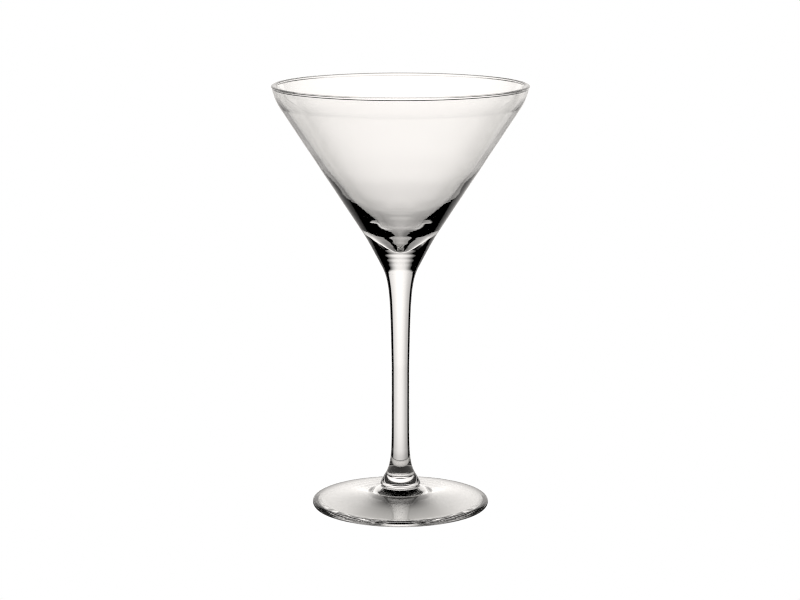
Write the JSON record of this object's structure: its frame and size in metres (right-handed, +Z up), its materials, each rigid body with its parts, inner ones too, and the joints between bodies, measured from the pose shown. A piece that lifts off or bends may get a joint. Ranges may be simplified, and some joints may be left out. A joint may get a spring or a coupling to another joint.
{
  "type": "martini glass",
  "caption": "Clear stemmed cocktail glass with a wide conical bowl, a slender solid stem and a round flared foot.",
  "frame": {"origin": "centre of the foot's resting ring, on the table", "axes": "+Z up along the glass's axis, from the foot to the rim; the glass is round, so X and Y are free"},
  "size_m": [0.1094, 0.1094, 0.1835],
  "materials": {
    "clear_glass": "clear soda-lime glass, fire-polished"
  },
  "bodies": {
    "root": {"bowl": "clear_glass", "stem": "clear_glass", "foot": "clear_glass"}
  },
  "joints": []
}
